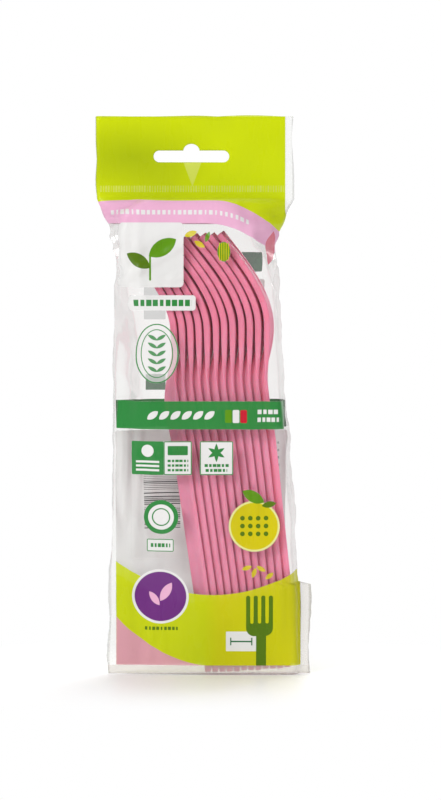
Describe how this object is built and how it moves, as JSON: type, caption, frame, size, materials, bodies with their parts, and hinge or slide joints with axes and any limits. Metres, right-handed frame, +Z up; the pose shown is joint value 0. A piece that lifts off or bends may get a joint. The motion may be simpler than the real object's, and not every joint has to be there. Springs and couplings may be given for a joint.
{
  "type": "plastic cutlery pack",
  "caption": "Clear printed film pack with a flat header and hang slot, holding nested plastic forks side by side; hangs on a shop hook.",
  "frame": {"origin": "centre of the hang slot, in the middle plane of the header", "axes": "+Z up the pack as it hangs, +X to the right seen from the front, -Y out of the front of the pack"},
  "size_m": [0.0878, 0.0286, 0.2282],
  "materials": {
    "film": "clear glossy film with opaque printed fields",
    "fork_plastic": "moulded, satin"
  },
  "bodies": {
    "root": {"film_bag": "film", "fork_01": "fork_plastic", "fork_02": "fork_plastic", "fork_03": "fork_plastic", "fork_04": "fork_plastic", "fork_05": "fork_plastic", "fork_06": "fork_plastic", "fork_07": "fork_plastic", "fork_08": "fork_plastic", "fork_09": "fork_plastic", "fork_10": "fork_plastic", "fork_11": "fork_plastic", "fork_12": "fork_plastic"}
  },
  "joints": []
}
